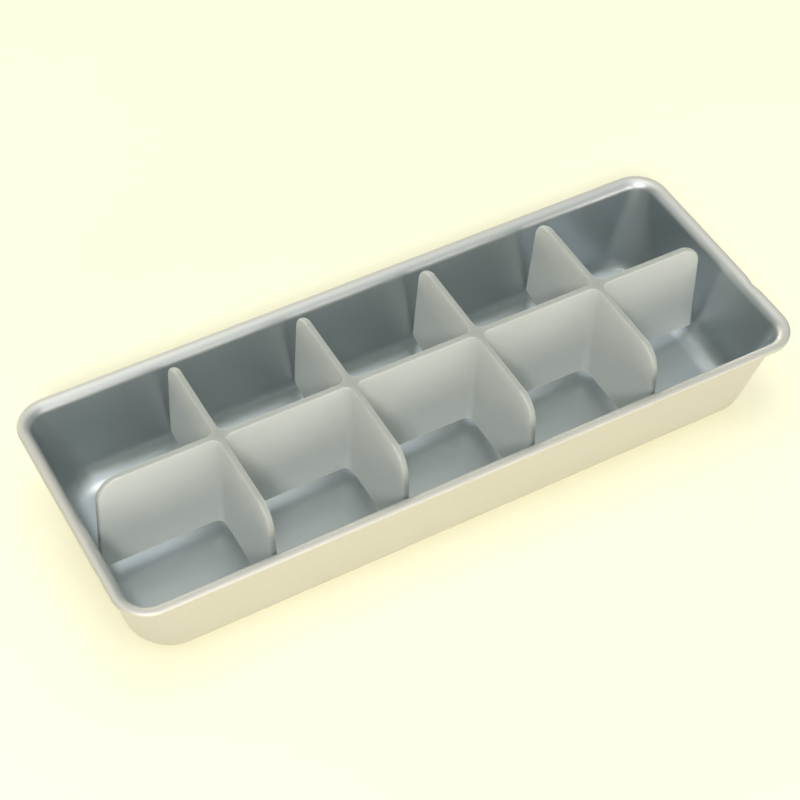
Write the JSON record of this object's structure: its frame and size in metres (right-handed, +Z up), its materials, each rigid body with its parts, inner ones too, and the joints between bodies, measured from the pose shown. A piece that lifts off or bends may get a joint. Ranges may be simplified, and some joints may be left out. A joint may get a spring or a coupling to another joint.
{
  "type": "ice cube tray",
  "caption": "Long drawn aluminium ice tray with a rolled lip and a lift-out milky plastic divider that parts the water into cubes.",
  "frame": {"origin": "middle of the pan's underside, on the surface that the tray stands on", "axes": "+X along the tray, +Y across it towards the back of the picture, +Z up out of the pan"},
  "size_m": [0.26, 0.1, 0.0486],
  "materials": {
    "satin_aluminium": "drawn sheet with a fine satin surface",
    "milky_polyethylene": "injection-moulded, translucent, finely matt"
  },
  "bodies": {
    "pan": {"tray_pan": "satin_aluminium"},
    "divider": {"cube_divider": "milky_polyethylene"}
  },
  "joints": [
    {"name": "divider_lift", "type": "slide", "parent": "pan", "child": "divider", "axis": [0, 0, 1], "range_m": [0, 0.05]}
  ]
}
